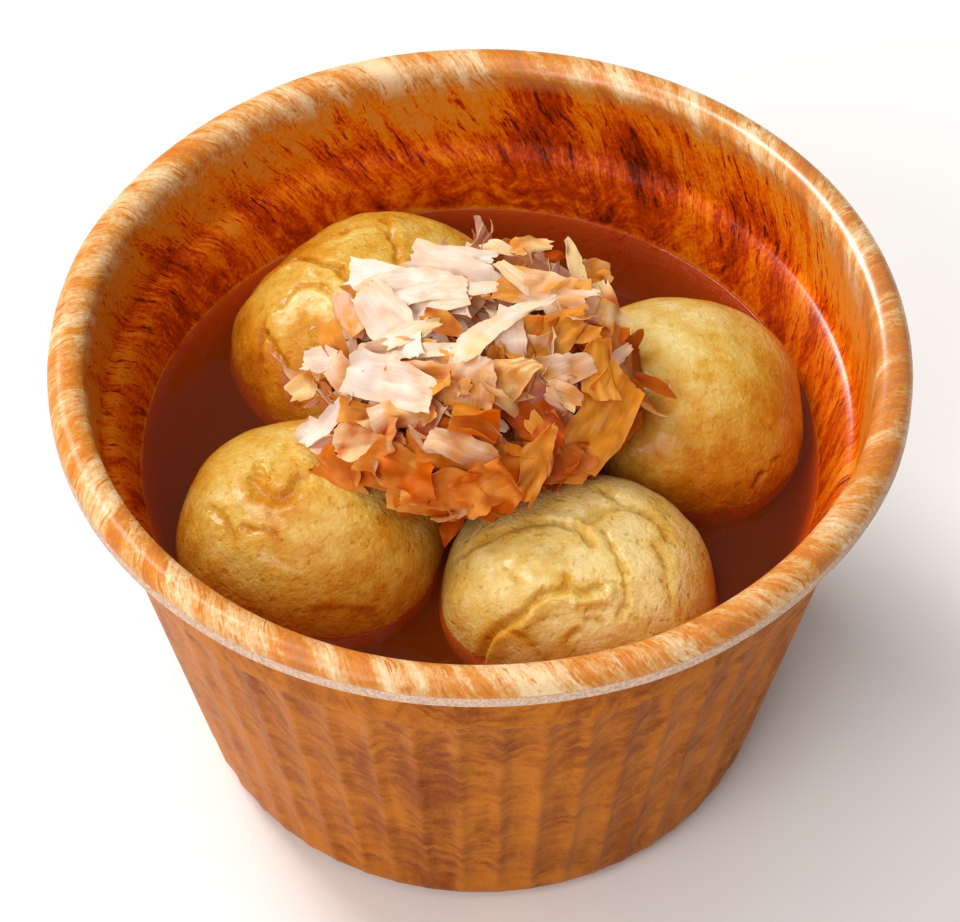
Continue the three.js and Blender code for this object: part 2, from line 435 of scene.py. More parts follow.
# The film is glossiest where the press rubbed it: on the lip, and on the ridge under the groove
lip_gloss = np.interp(height, [0.0650, 0.0670, 0.0750, 0.0770, 0.0785], [0.0, 0.01, 0.1, 0.5, 0.5])
ridge_gloss = np.interp(height, [0.0560, 0.0600, 0.0630, 0.0650, 0.0656], [0.1, 0.5, 1.0, 0.9, 0.0])
inner_gloss = lip_gloss[:, None] * (0.2 + 0.8 * patch(15, 50))
inner_gloss = inner_gloss + ridge_gloss[:, None] * (0.01 + 0.99 * patch(10, 24))
outer_gloss = (0.01 + 0.25 * patch(203, 22)) * ~on_edge[:, None]
# No print is paler than this, apart from the lip's
palest = np.where(is_outside, 0.3, 0.4 * is_inside * (1 - eased(height, 0.0755, 0.0782)))
# How much of the flat sheet's grain shows. On the lip the drawn-out hairs take its place
level_grain = np.where(is_outside, 1.1, 1 - eased(height, 0.0600, 0.0650) * is_inside)
level_grain = np.where(on_lip, 0, level_grain)[:, None]
level_grain = level_grain * (0.35 + 0.65 * np.abs(np.sin(turn)))[None, :]
# The press twisted the film a little as it drew it in over the lip
film_twist = 0.55
film_radius = 0.058
film_gap = 0.3  # keeps the print of the outer film apart from that of the inner one
twist_in = film_twist * np.maximum(run - run[len(outside)], 0) / film_radius
swirl = turn[None, :] + twist_in[:, None]
film = np.stack([film_radius * np.cos(swirl), film_radius * np.sin(swirl), to_all_round(run)], axis=-1)
bowl = closed_skin(
    "bowl_of_printed_foam",
    carried(radius, height),
    print_finish(),
    {
        "film": film,
        "flat_sheet": carried(draw, is_outside * film_gap),
        "tone": tone,
        "edge": to_all_round(on_edge),
        "dull": to_all_round(is_outside),
        "palest": to_all_round(palest),
        "gloss": np.where(is_outside[:, None], outer_gloss, inner_gloss),
        "level_grain": level_grain,
    },
)
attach(bowl, "root")
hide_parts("bowl")


# ---------------------------------------------------------------------------------- dumplings
# Four soft dumplings of egg batter and dashi, turned in a round hotplate mould. Each is pale where
# the skin is thin and golden where it met the hot iron, and it creases where it sagged when soft.
# Its creases, pits and lower sides are also painted browner, as a painted shade.
def directions(azimuth, elevation):
    azimuth = np.radians(azimuth)
    elevation = np.radians(elevation)
    flat = np.cos(elevation)
    return np.stack([flat * np.cos(azimuth), flat * np.sin(azimuth), np.sin(elevation)], axis=-1)


def middle_of(node):
    low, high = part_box(node)
    return np.array((low + high) / 2)


def form_of(node, centre):
    """How far the frame's solid for node reaches from centre in each direction, smoothly."""
    softness = 0.012
    rays_at_once = 4000
    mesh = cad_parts[node].data
    points = np.empty(len(mesh.vertices) * 3)
    mesh.vertices.foreach_get("co", points)
    arms = points.reshape(-1, 3) - centre
    reach = np.linalg.norm(arms, axis=1)
    arms /= reach[:, None]

    def radius_at(rays):
        radii = []
        for some in np.array_split(rays, 1 + len(rays) // rays_at_once):
            weight = np.exp((some @ arms.T - 1) / softness)
            radii.append(weight @ reach / weight.sum(axis=1))
        return np.concatenate(radii)

    return radius_at


def rough_field(points, size, seed, octaves=1):
    """Smooth noise at points, with bumps of about the given size, from -1 to 1."""
    total = np.zeros(len(points))
    weight = 1.0
    shift = Vector((seed * 7.31, seed * 3.17, seed * 5.83))
    for octave in range(octaves):
        scale = 2 ** octave / size
        total += weight * np.array([noise.noise(Vector(p) * scale + shift) for p in points])
        weight *= 0.5
    return total


def distance_to_line(points, line):
    """How far each point is from a line through the given points, positive on its left-hand side."""
    nearest = np.full(len(points), np.inf)
    side = np.ones(len(points))
    for a, b in zip(line, line[1:]):
        along = b - a
        share = np.clip((points - a) @ along / (along @ along), 0, 1)
        away = points - a - share[:, None] * along
        far = np.linalg.norm(away, axis=1)
        left = np.sign(np.sum(np.cross(along, away) * points, axis=1))
        side = np.where(far < nearest, left, side)
        nearest = np.minimum(nearest, far)
    return nearest, side


skin_rows = 150
skin_columns = 300
row_lift = np.linspace(-90, 90, skin_rows + 2)[1:-1]
column_turn = np.linspace(0, 360, skin_columns, endpoint=False)
skin_rays = directions(*np.meshgrid(column_turn, row_lift))

# The skin has soaked and swollen, which leaves each crease only these shares of its depth and puff
depth_left = 0.85
puff_left = 0.5
grain_height = 0.00008
grain_size = 0.0030
# The skin is browner from a little below the broth's level to well above it: soaked near the broth, and
# higher up the sides a painted shade
soak_and_shade_low = broth_level - 0.002
soak_and_shade_high = broth_level + 0.016
soak_and_shade_brown = 0.40


def batter_finish(name, seed, toast, crinkle):
    finish = Finish(name)
    place = finish.node("ShaderNodeTexCoord", output="Object")
    spot = finish.vector("ADD", place, (seed * 0.37, seed * 0.21, seed * 0.53))
    fold = finish.attribute("fold")
    side = finish.attribute("toast")
    patches = finish.clouds(spot, 190, detail=4, roughness=0.6)
    freckles = finish.clouds(spot, 620, detail=2, roughness=0.7)
    pits = finish.clouds(spot, 700, detail=1.5, roughness=0.6).between(0.56, 0.76)
    # The skin is browner in its creases (fold) and pits, a painted shade, and where the toast measure says:
    # real browning, with a painted shade low on its sides
    browning_and_shade = patches * 0.62 + side * 0.5 + freckles * 0.24 + fold * 0.14 + pits * crinkle * 0.12 + toast
    stops = [
        (0.34, ink(228, 204, 140)),
        (0.48, ink(214, 180, 96)),
        (0.62, ink(204, 153, 50)),
        (0.78, ink(192, 121, 16)),
        (1.0, ink(160, 78, 4)),
    ]
    colour = finish.node("ShaderNodeValToRGB", {"stops": stops}, {"Fac": browning_and_shade})
    swell = finish.clouds(spot, 950, detail=2, roughness=0.7)
    bumps = swell - pits * crinkle * 0.7
    wet = patches.between(0.62, 0.38)
    surface = finish.node("ShaderNodeBsdfPrincipled", {"subsurface_method": "RANDOM_WALK"}, {
        "Base Color": colour,
        "Roughness": 0.45,
        "Specular IOR Level": 0.15,
        "Subsurface Weight": 0.45,
        "Subsurface Radius": (1.0, 0.65, 0.3),
        "Subsurface Scale": 0.0035,
        "Coat Weight": 0.12 + wet * 0.35,
        "Coat Roughness": 0.13,
        "Normal": finish.relief(bumps, 0.00036),
    })
    return finish.done(surface)


def make_dumpling(node, seed, lumps, toast, crinkle, brown_spots, creases):
    """lumps is how far the skin bulges, toast is how brown it is all over, and crinkle is how deep
    its small pits are. A brown spot is azimuth, elevation, spread in degrees and how much browner
    the skin is there. A crease is a line of (azimuth, elevation) points in degrees seen from the
    dumpling's middle, then its width, its depth and how far the skin puffs up beside it: on the
    left-hand side of the line if that is positive, and on the right-hand side if it is negative."""
    centre = middle_of(node)
    reach = form_of(node, centre)
    rays = skin_rays.reshape(-1, 3)
    radii = reach(rays)
    points = rays * radii[:, None]
    swelling = lumps * rough_field(points, 0.012, seed)
    swelling += grain_height * rough_field(points, grain_size, seed + 10)
    fold = np.zeros(len(points))
    stray = 0.0005 * rough_field(points, 0.0028, seed + 20, octaves=2)
    for line, width, depth, puff in creases:
        bends = directions(*np.array(line, dtype=float).T)
        bends = bends * reach(bends)[:, None]
        gap, side = distance_to_line(points, bends)
        gap = np.abs(gap + stray)
        cut = np.exp(-((gap / width) ** 2))
        beside = np.exp(-(((gap - 2 * width) / (2 * width)) ** 2)) * (side * puff > 0)
        swelling += puff_left * abs(puff) * beside * (1 - cut) - depth_left * depth * cut
        fold = np.maximum(fold, np.exp(-((gap / (1.8 * width)) ** 2)))
    browned_and_shaded = 0.2 * rough_field(points, 0.013, seed + 30, octaves=2)
    for azimuth, elevation, spread, amount in brown_spots:
        near = (rays @ directions(azimuth, elevation) - 1) / (1 - math.cos(math.radians(spread)))
        browned_and_shaded += amount * np.exp(near)
    points = centre + rays * (radii + swelling)[:, None]
    # Browner low down: soaked by the broth near its level, and higher up the sides a painted shade
    browned_and_shaded += soak_and_shade_brown * (1 - eased(points[:, 2], soak_and_shade_low, soak_and_shade_high))
    piece = closed_skin(
        node + "_skin",
        points.reshape(skin_rows, skin_columns, 3),
        batter_finish(node, seed, toast, crinkle),
        {"fold": fold, "toast": browned_and_shaded},
    )
    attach(piece, "root")
    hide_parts(node)


make_dumpling(
    "dumpling_back_left", seed=1, lumps=0.0006, toast=0.12, crinkle=0.5,
    brown_spots=[
        # The wide spot low on the left is partly crust and partly a painted shade
        (-152, 5, 34, 0.42), (141, 44, 14, 0.14), (-126, 37, 12, 0.14), (60, 20, 30, 0.08),
        (-165, 68, 12, -0.17),
    ],
    creases=[
        ([(80, 50), (72, 56), (60, 64), (37, 72), (7, 75)], 0.0006, 0.0006, 0.0005),
        ([(112, 53), (99, 53), (85, 54), (74, 58), (64, 63)], 0.0005, 0.0004, 0.0002),
        ([
            (165, 30), (157, 37), (150, 42), (153, 52), (158, 61), (166, 73), (-151, 77),
        ], 0.0006, 0.001, -0.0009),
        ([(-163, 42), (-169, 47), (-175, 52), (-170, 60), (-156, 65), (-134, 65)], 0.0005, 0.0005, -0.0003),
        ([(-153, 31), (-143, 29), (-136, 28), (-132, 25), (-126, 21), (-122, 14)], 0.0006, 0.0007, 0.0005),
        ([(-160, 33), (-152, 27), (-146, 22)], 0.0005, 0.0004, 0.0003),
    ],
)
make_dumpling(
    "dumpling_right", seed=2, lumps=0.0005, toast=0.12, crinkle=0.4,
    brown_spots=[
        # The spot low at the front is partly crust and partly a painted shade, and the paler spot high at
        # the back is a painted sheen
        (-78, 22, 40, 0.3), (-26, 28, 18, 0.2), (79, 71, 28, -0.3), (-166, 75, 5, 0.17),
    ],
    creases=[
        ([(-57, 12), (-54, 15), (-51, 15)], 0.0004, 0.0012, 0.0001),
        ([(-49, 16), (-46, 18), (-42, 17)], 0.0003, 0.0008, 0.0001),
        ([(-84, -14), (-80, -10)], 0.0004, 0.0009, 0.0001),
        ([(-160, 35), (-150, 55), (-110, 65)], 0.0007, 0.0002, 0.0001),
    ],
)
make_dumpling(
    "dumpling_front_left", seed=3, lumps=0.0005, toast=0.09, crinkle=0.6,
    brown_spots=[
        (-100, 72, 26, 0.12), (-38, 48, 16, 0.1), (-73, 22, 18, 0.16), (-37, 5, 26, 0.14),
        (-150, 66, 12, 0.11), (150, 5, 30, 0.22), (-60, -8, 30, 0.11),
    ],
    creases=[
        ([(166, 62), (177, 66), (-173, 69)], 0.0004, 0.0007, 0.0002),
        ([(162, 61), (157, 63)], 0.0003, 0.0005, 0.0001),
        ([(-176, 60), (-156, 64), (-133, 68), (-124, 75), (-124, 84)], 0.0011, 0.001, 0.0005),
        ([(-141, 47), (-133, 48), (-125, 51), (-115, 51)], 0.0004, 0.0005, 0.0002),
        ([(-86, 19), (-82, 20), (-71, 18), (-62, 14)], 0.0006, 0.0004, 0.0002),
        ([(-167, 38), (-156, 42), (-140, 39)], 0.0007, 0.0005, 0.0003),
    ],
)
make_dumpling(
    "dumpling_front_right", seed=4, lumps=0.0004, toast=-0.07, crinkle=0.8,
    brown_spots=[
        (-133, 33, 8, 0.19), (-20, 10, 26, 0.17), (-90, 5, 30, 0.11), (-107, 60, 5, 0.17),
        (100, 60, 22, 0.11),
    ],
    creases=[
        ([
            (-138, 4), (-137, 14), (-134, 26), (-129, 33), (-125, 39), (-122, 48), (-115, 52),
            (-108, 54), (-97, 56), (-91, 54), (-82, 55), (-73, 56),
        ], 0.0006, 0.001, -0.001),
        ([(-107, 63), (-102, 57)], 0.0005, 0.0006, 0.0001),
        ([(5, 76), (-25, 70), (-39, 62), (-50, 54), (-57, 46), (-66, 40)], 0.0004, 0.0005, 0.0002),
        ([(154, 69), (144, 76), (129, 83), (94, 88), (-42, 87), (-51, 80)], 0.0005, 0.0011, 0.0005),
        ([(178, 30), (172, 48), (158, 61), (154, 69)], 0.0008, 0.0006, -0.0004),
        ([(66, 80), (52, 69), (39, 61), (27, 53), (15, 48)], 0.0007, 0.0007, -0.0006),
        ([(66, 59), (48, 60), (32, 54), (19, 50), (3, 46)], 0.0006, 0.0007, 0.0004),
        ([(-128, 28), (-121, 28), (-116, 25)], 0.0005, 0.0004, 0.0002),
        ([(-115, 38), (-107, 41)], 0.0005, 0.0004, 0.0002),
        ([(-99, 30), (-92, 36)], 0.0005, 0.0004, 0.0002),
        ([(-86, 41), (-77, 39)], 0.0005, 0.0004, 0.0002),
        ([(-91, 47), (-73, 46)], 0.0004, 0.0003, 0.0002),
        ([(-12, 45), (-27, 42), (-35, 35)], 0.0005, 0.0004, 0.0002),
        ([(-5, 52), (-15, 46)], 0.0005, 0.0004, 0.0002),
    ],
)


# -------------------------------------------------------------------------------------- broth
# Clear brown dashi up to its level, poured round the dumplings. It wets the wall and the dumplings,
# so its surface climbs a little where it meets them.
meniscus_rise = 0.00025
meniscus_reach = 0.0007
wall_lean = 0.42
under_wall = 0.0001
fine_margin = 0.004
level_steps = np.concatenate([
    np.linspace(0, fine_margin, 14)[:-1],
    np.linspace(fine_margin, wall_at_broth - 0.0005, 84),
])


def dashi_finish():
    finish = Finish("dashi_broth")
    water = finish.node("ShaderNodeBsdfPrincipled", None, {
        "Base Color": ink(216, 92, 22),
        "Roughness": 0.015,
        "IOR": 1.33,
        "Transmission Weight": 0.87,
    })
    clear = finish.node("ShaderNodeBsdfTransparent")
    shadow = finish.node("ShaderNodeLightPath", output="Is Shadow Ray")
    surface = finish.node("ShaderNodeMixShader", None, {0: shadow, 1: water, 2: clear})
    body = finish.node("ShaderNodeVolumeAbsorption", None, {
        "Color": (0.75, 0.48, 0.17, 1),
        "Density": 100.0,
    })
    return finish.done(surface, Volume=body)


def make_broth():
    climb_to = broth_level + meniscus_rise
    outer_rim = wall_at_broth + wall_lean * meniscus_rise + under_wall
    surface = carried(outer_rim - level_steps, np.full(len(level_steps), broth_level))
    flat = surface.reshape(-1, 3)
    rise = np.exp(-np.repeat(level_steps, len(turn)) / meniscus_reach)
    for node in ("dumpling_back_left", "dumpling_right", "dumpling_front_left", "dumpling_front_right"):
        centre = middle_of(node)
        arms = flat - centre
        length = np.linalg.norm(arms, axis=1)
        gap = length - form_of(node, centre)(arms / length[:, None])
        rise = rise + np.exp(-np.maximum(gap, 0) / meniscus_reach)
    flat[:, 2] += meniscus_rise * np.minimum(rise, 1.25)
    below = rounded_path([
        (axis_gap, floor_height - under_wall, 0),
        (0.0411, floor_height - under_wall, 0.006),
        (wall_at_broth + under_wall, broth_level, 0.02),
        (outer_rim, climb_to, 0),
    ], longest_step=0.006)[:-1]
    walls = carried(below[:, 0], below[:, 1])
    rows = np.concatenate([walls, flat.reshape(surface.shape)])
    piece = closed_skin("dashi", rows, dashi_finish())
    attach(piece, "root")
    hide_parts("broth")


make_broth()


# ------------------------------------------------------------------------------ bonito flakes
# A pinch of dried bonito, shaved thinner than paper and dropped on the hot dumplings. The flakes are
# stiff, curled and torn, pale pink where they are dry and amber where the broth has wetted them.
# On the right and deep in the heap the amber is also a painted shade.
heap_low, heap_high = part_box("bonito_flakes")
middle_back = 0.002
middle_rise = 0.009
heap_centre = np.array([
    (heap_low.x + heap_high.x) / 2,
    (heap_low.y + heap_high.y) / 2 + middle_back,
    heap_low.z + middle_rise,
])
heap_reach = form_of("bonito_flakes", heap_centre)
flake_thickness = 0.00007
torn_rim = 0.0010
settled = 0.7  # the share of its height above the heap that a flake has sunk by
chance = np.random.default_rng(11)

white = np.array((*ink(250, 238, 224)[:3], 0.0))
pink = np.array((*ink(250, 216, 184)[:3], 0.1))
cream = np.array((*ink(252, 226, 160)[:3], 0.2))
peach = np.array((*ink(244, 178, 64)[:3], 0.6))
amber = np.array((*ink(224, 118, 6)[:3], 1.0))
honey = np.array((*ink(238, 166, 36)[:3], 0.8))
rust = np.array((*ink(172, 66, 2)[:3], 1.0))


def bent(points, along, curvature):
    """points rolled up in the column along, towards +z where curvature is positive."""
    if abs(curvature) < 1:
        return points
    points = points.copy()
    swing = points[:, along] * curvature
    reach = 1 / curvature - points[:, 2]
    points[:, along] = reach * np.sin(swing)
    points[:, 2] = 1 / curvature - reach * np.cos(swing)
    return points


def make_flake(
    middle, facing, heading, length, width, seed, tints, curl=0.0, roll=0.0, twist=0.0, taper=0.4, fray=1.0,
    bow=0.0, cell=0.0008, ripple=0.0004, crumple=0.0011, skew=0.0, fold=(2.0, 0.0),
):
    """The points, faces, tints and fibre places of one flake: a closed thin sheet with cut long edges
    and torn ends. It lies along heading, measured from level, in the plane that faces facing. curl
    and roll are curvatures along and across it, in 1/m. taper narrows it to its far end, bow bends
    its outline, skew slants its ends, and fold is where along it, from -1 to 1, it bends sharply and
    by how much."""
    columns = max(8, round(length / cell))
    lanes = max(5, round(width / cell))
    u, v = np.meshgrid(np.linspace(-1, 1, columns), np.linspace(-1, 1, lanes), indexing="ij")
    u = u.ravel()
    v = v.ravel()
    own = np.stack([u * length, v * width, np.full(len(u), 0.01 * seed)], axis=1)
    torn = rough_field(own, 0.006, seed, octaves=3)
    notched = rough_field(own, 0.0016, seed + 5, octaves=2)
    corners = np.random.default_rng(seed).uniform(-1, 1, (4, 2)) * (0.12 * length, 0.16 * width)
    shares = np.stack([(1 - u) * (1 - v), (1 - u) * (1 + v), (1 + u) * (1 - v), (1 + u) * (1 + v)]) / 4
    ragged = notched * np.clip(0.35 + 1.4 * torn, 0, 1.2)
    # The ends are torn deep, and the long edges hardly
    x = u * length / 2 + np.abs(u) ** 7 * fray * (0.07 * length * torn + 0.0014 * ragged)
    x += shares.T @ corners[:, 0]
    y = v * width / 2 * (1 - taper * np.maximum(u, -0.35 * u)) + shares.T @ corners[:, 1]
    y += np.abs(v) ** 7 * fray * (0.05 * width * torn + 0.0003 * ragged)
    y += bow * (u * u - 0.33)
    x += skew * y
    points = np.stack([x, y, np.full(len(x), 0.02 * seed)], axis=1)
    fibres = points + (0, 0, 0.01 * seed)
    # It crumples, its edges stand up in a frill, and it folds over, curls and twists
    crumpled = np.abs(rough_field(points * (0.45, 1, 1), 0.0024, seed + 7))
    frill = np.abs(v) ** 2 * rough_field(points * (1, 0.3, 1), 0.0032, seed + 9)
    points[:, 2] = ripple * rough_field(points, 0.0045, seed + 3, octaves=2) + crumple * (crumpled + frill)
    crease = fold[0] * length / 2
    past = points[:, 0] > crease
    beyond = points[past, 0] - crease
    lift = points[past, 2]
    points[past, 0] = crease + beyond * math.cos(fold[1]) - lift * math.sin(fold[1])
    points[past, 2] = beyond * math.sin(fold[1]) + lift * math.cos(fold[1])
    points = bent(points, 0, curl)
    points = bent(points, 1, roll)
    swing = twist * u
    points[:, 1], points[:, 2] = (
        points[:, 1] * np.cos(swing) - points[:, 2] * np.sin(swing),
        points[:, 1] * np.sin(swing) + points[:, 2] * np.cos(swing),
    )
    facing = np.asarray(facing, dtype=float)
    facing = facing / np.linalg.norm(facing)
    level = np.cross((0, 0, 1), facing)
    level = level / np.linalg.norm(level) if np.linalg.norm(level) > 1e-3 else np.array((1.0, 0, 0))
    uphill = np.cross(facing, level)
    ahead = level * math.cos(heading) + uphill * math.sin(heading)
    points = middle + points @ np.stack([ahead, np.cross(facing, ahead), facing])
    points[:, 2] -= settled * np.maximum(points[:, 2] - heap_high.z, 0)

    grid = points.reshape(columns, lanes, 3)
    out = np.cross(np.gradient(grid, axis=0), np.gradient(grid, axis=1))
    out /= np.maximum(np.linalg.norm(out, axis=-1, keepdims=True), 1e-12)
    # Two faces, with a strip round them
    top = (grid + out * flake_thickness / 2).reshape(-1, 3)
    under = (grid - out * flake_thickness / 2).reshape(-1, 3)
    index = np.arange(columns * lanes).reshape(columns, lanes)
    quads = np.stack([index[:-1, :-1], index[1:, :-1], index[1:, 1:], index[:-1, 1:]], axis=-1)
    quads = quads.reshape(-1, 4)
    count = columns * lanes
    loop = np.concatenate([index[:, 0], index[-1, 1:], index[-2::-1, -1], index[0, -2:0:-1]])
    after = np.roll(loop, -1)
    rim = np.stack([loop, loop + count, after + count, after], axis=1)
    faces = np.concatenate([quads, quads[:, ::-1] + count, rim])
    blend = np.clip(0.5 + 0.8 * torn + 0.35 * u, 0, 1)[:, None]
    colours = tints[0] * (1 - blend) + tints[1] * blend
    # Rust in the creases of the crumpled sheet: a painted shade
    crease_shade = np.exp(-((crumpled / 0.1) ** 2))[:, None]
    colours = colours + (rust - colours) * (0.05 + 0.25 * colours[:, 3:]) * crease_shade
    # Cream along the torn rim of dry flakes: a painted highlight where the thin edges catch the light
    rim_highlight = np.maximum(np.abs(u) ** (length / torn_rim), np.abs(v) ** (width / torn_rim))[:, None]
    colours = colours + (cream - colours) * 0.3 * rim_highlight * (1 - colours[:, 3:])
    return np.vstack([top, under]), faces, np.vstack([colours, colours]), np.vstack([fibres, fibres])


def bonito_finish():
    finish = Finish("bonito_flakes")
    tint = finish.attribute("tint", "Color")
    fibres = finish.attribute("fibres", "Vector")
    fibre = finish.streaks(fibres, (260, 2200, 40), 4, 0.65)
    blotch = finish.clouds(fibres, 260, detail=3, roughness=0.6)
    wet = finish.attribute("tint", "Alpha")
    colour = finish.blend(fibre.between(0.48, 0.75) * (0.14 + wet * 0.3), tint, ink(206, 124, 40))
    colour = finish.blend(blotch.between(0.5, 0.8) * (0.03 + wet * 0.5), colour, ink(200, 92, 4))
    colour = finish.blend(blotch.between(0.48, 0.3) * wet * 0.3, colour, ink(250, 190, 96))
    colour = finish.blend(fibre.between(0.45, 0.3) * (0.6 - wet * 0.57), colour, ink(255, 248, 238))
    sheen = finish.node("ShaderNodeBsdfPrincipled", None, {
        "Base Color": colour,
        "Roughness": 0.36,
        "Specular IOR Level": 0.15,
        "Normal": finish.relief(fibre, 0.00012),
    })
    glow = finish.node("ShaderNodeBsdfTranslucent", None, {"Color": ink(255, 188, 44)})
    return finish.done(finish.node("ShaderNodeMixShader", None, {0: 0.2 + wet * 0.35, 1: sheen, 2: glow}))


def joined_flakes(name, flakes, material):
    points, faces, tints, fibres = zip(*flakes)
    starts = np.cumsum([0] + [len(some) for some in points])
    faces = np.vstack([some + start for some, start in zip(faces, starts)])
    measures = {"tint": np.vstack(tints), "fibres": np.vstack(fibres)}
    piece = made_piece(name, np.vstack(points), faces.tolist(), material, measures)
    piece.data.set_sharp_from_angle(angle=math.radians(65))
    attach(piece, "root")
    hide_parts("bonito_flakes")


def lay(azimuth, elevation, reach, heading, length, width, tints, **form):
    """Lays one of the large flakes on top, its middle at reach from the heap's middle and its length
    along heading, in degrees. They face out and up to the front, where the heap leans."""
    ray = directions(azimuth, elevation)
    seed = first_large_seed + len(laid)
    laid.append(make_flake(
        heap_centre + ray * reach, ray * 0.5 + heap_lean, math.radians(heading),
        length, width, seed, tints, cell=0.0005, **form,
    ))


# The broth has wetted the scattered flakes that lie low. Those on the right and deep in the heap
# are tinted amber like wet ones as well, a painted shade for where they lie in shadow
dry_height = 0.080
wet_fade = 0.009
shaded_right = 22
shaded_inside = 3.5


def scattered_flake(seed):
    azimuth = chance.uniform(0, 360)
    elevation = math.degrees(math.asin(chance.uniform(-0.1, 0.98)))
    share = chance.uniform(0.72, 0.97)
    ray = directions(azimuth, elevation)
    middle = heap_centre + ray * heap_reach(ray[None, :])[0] * share
    facing = ray + chance.normal(0, 0.45, 3)
    length = chance.uniform(0.006, 0.016)
    # Amber on the right and deep inside is a painted shade
    wet = (dry_height - middle[2]) / wet_fade + shaded_right * middle[0] + shaded_inside * (0.9 - share)
    wet = np.clip(wet + chance.normal(0, 0.2), 0, 1)
    dry_tint = (white, pink, cream, peach)[chance.integers(4)]
    wet_tint = (amber, honey, rust)[chance.integers(3)]
    first = dry_tint * (1 - wet) + wet_tint * wet
    second = first * 0.6 + (honey, peach, rust)[chance.integers(3)] * 0.4
    return make_flake(
        middle, facing, chance.uniform(0, math.pi), length, max(0.0011, length * chance.uniform(0.12, 0.55)),
        seed, (first, second), curl=chance.normal(0, 60), roll=chance.normal(0, 110),
        twist=chance.normal(0, 0.4), taper=chance.uniform(0.1, 0.95), fray=chance.uniform(0.5, 1.3),
        skew=chance.normal(0, 0.4), fold=(chance.uniform(-0.6, 0.6), chance.normal(0, 0.4)),
    )


heap_lean = np.array((0, -0.66, 0.75))
first_large_seed = 200
laid = []
lay(152, 53, 0.0235, 8, 0.0133, 0.0076, (white, white),
    curl=-20, roll=30, taper=0.25, skew=0.3, fold=(0.55, -0.5))
lay(170, 42, 0.0235, -50, 0.0091, 0.0067, (pink, peach), roll=60, fold=(0.0, 0.6))
lay(-178, 32, 0.0249, -42, 0.0073, 0.0039, (peach, rust), roll=150, curl=30)
lay(98, 58, 0.0223, 0, 0.0094, 0.0042, (pink, white), curl=-60, roll=-30)
lay(128, 73, 0.0218, 27, 0.0194, 0.0041, (white, pink), curl=-18, twist=0.4, taper=0.5, fold=(-0.4, 0.4))
lay(-163, 61, 0.0214, 42, 0.01, 0.0039, (white, cream), roll=60, twist=0.4)
lay(-81, 77, 0.0216, 56, 0.025, 0.0045, (cream, white),
    curl=-10, roll=50, twist=0.5, taper=0.5, bow=-0.0015, fold=(-0.45, 0.4))
lay(-139, 44, 0.0225, -3, 0.0148, 0.0073, (white, pink),
    roll=30, curl=15, taper=0.1, skew=-0.3, fold=(-0.15, 0.35))
lay(-159, 31, 0.0243, -30, 0.007, 0.0052, (pink, peach), roll=60, curl=-40)
lay(-174, 26, 0.0259, 20, 0.0055, 0.0045, (white, pink), roll=160, curl=60)
lay(-171, 16, 0.0267, 60, 0.0058, 0.0042, (cream, honey), roll=80, fold=(0.2, 0.7))
lay(-152, 19, 0.0257, 68, 0.0103, 0.0027, (white, white), roll=120, twist=0.5, curl=20)
lay(-153, 9, 0.0266, -20, 0.0067, 0.0039, (white, pink), roll=90, curl=60, fray=1.6)
lay(-139, 28, 0.0233, 0, 0.0097, 0.0067, (peach, rust), roll=330, curl=25, fray=0.5)
lay(-131, 18, 0.023, 30, 0.0088, 0.0066, (amber, honey), roll=50, fold=(0.1, 0.5))
lay(-139, 7, 0.0281, -25, 0.0091, 0.0064, (amber, peach), roll=25, curl=-30, fray=1.4)
lay(-121, 14, 0.0243, 4, 0.0163, 0.0063, (amber, honey), roll=70, curl=-25, bow=0.001)
lay(-99, 10, 0.025, -8, 0.0216, 0.0078, (peach, amber), curl=-30, roll=40, fold=(-0.3, -0.4))
lay(-80, 19, 0.0234, 65, 0.0126, 0.0091, (amber, honey), curl=-45, roll=30, fold=(0.3, -0.5))
lay(-90, 40, 0.0221, -12, 0.0085, 0.01, (honey, amber), roll=480, fray=0.4, taper=0.1)
lay(-89, 59, 0.0204, 76, 0.0133, 0.007, (peach, pink), roll=60, curl=15, fold=(-0.6, 0.5))
lay(-22, 61, 0.0205, -30, 0.0125, 0.0073, (peach, amber), curl=25, fold=(0.0, -0.5), taper=0.7)
lay(-46, 49, 0.0207, 8, 0.0153, 0.0056, (peach, pink), curl=-35, roll=50, taper=0.6)
lay(13, 50, 0.022, 35, 0.0095, 0.0077, (pink, peach), curl=-30, fold=(0.2, 0.5), skew=0.3)
lay(21, 35, 0.0246, 60, 0.0052, 0.0048, (amber, cream), roll=200, curl=40)
lay(61, 48, 0.0244, -20, 0.0064, 0.0039, (honey, cream), roll=150, curl=-60, fray=1.8)
lay(48, 45, 0.0249, 0, 0.003, 0.0021, (rust, rust), roll=200)
lay(42, 39, 0.0256, 78, 0.0076, 0.0024, (cream, cream), roll=220, twist=0.7)
lay(36, 32, 0.026, -40, 0.0055, 0.0042, (cream, honey), roll=160, curl=120, fray=1.8)
lay(17, 31, 0.0251, 82, 0.0079, 0.0027, (cream, honey), roll=200, curl=-60)
lay(-1, 34, 0.0242, -15, 0.0061, 0.0033, (peach, amber), roll=90, fold=(0.0, 0.8))
lay(-8, 31, 0.0252, 20, 0.0045, 0.0026, (pink, pink), curl=60)
lay(-33, 24, 0.0245, 42, 0.0152, 0.0096, (peach, honey), curl=-35, roll=55, taper=0.3, skew=0.35, fray=0.6)
lay(-41, 38, 0.0229, -35, 0.0058, 0.0036, (pink, peach), curl=-50, roll=60)
lay(-58, 35, 0.0201, -60, 0.0111, 0.0084, (amber, rust), roll=40, fold=(0.1, 0.6))
lay(-58, 28, 0.0216, -65, 0.0064, 0.003, (peach, honey), curl=-30)
lay(-51, 14, 0.0226, 4, 0.012, 0.0049, (rust, amber), roll=80)
lay(-159, 76, 0.0199, -18, 0.0067, 0.0039, (rust, peach), roll=200, curl=40)
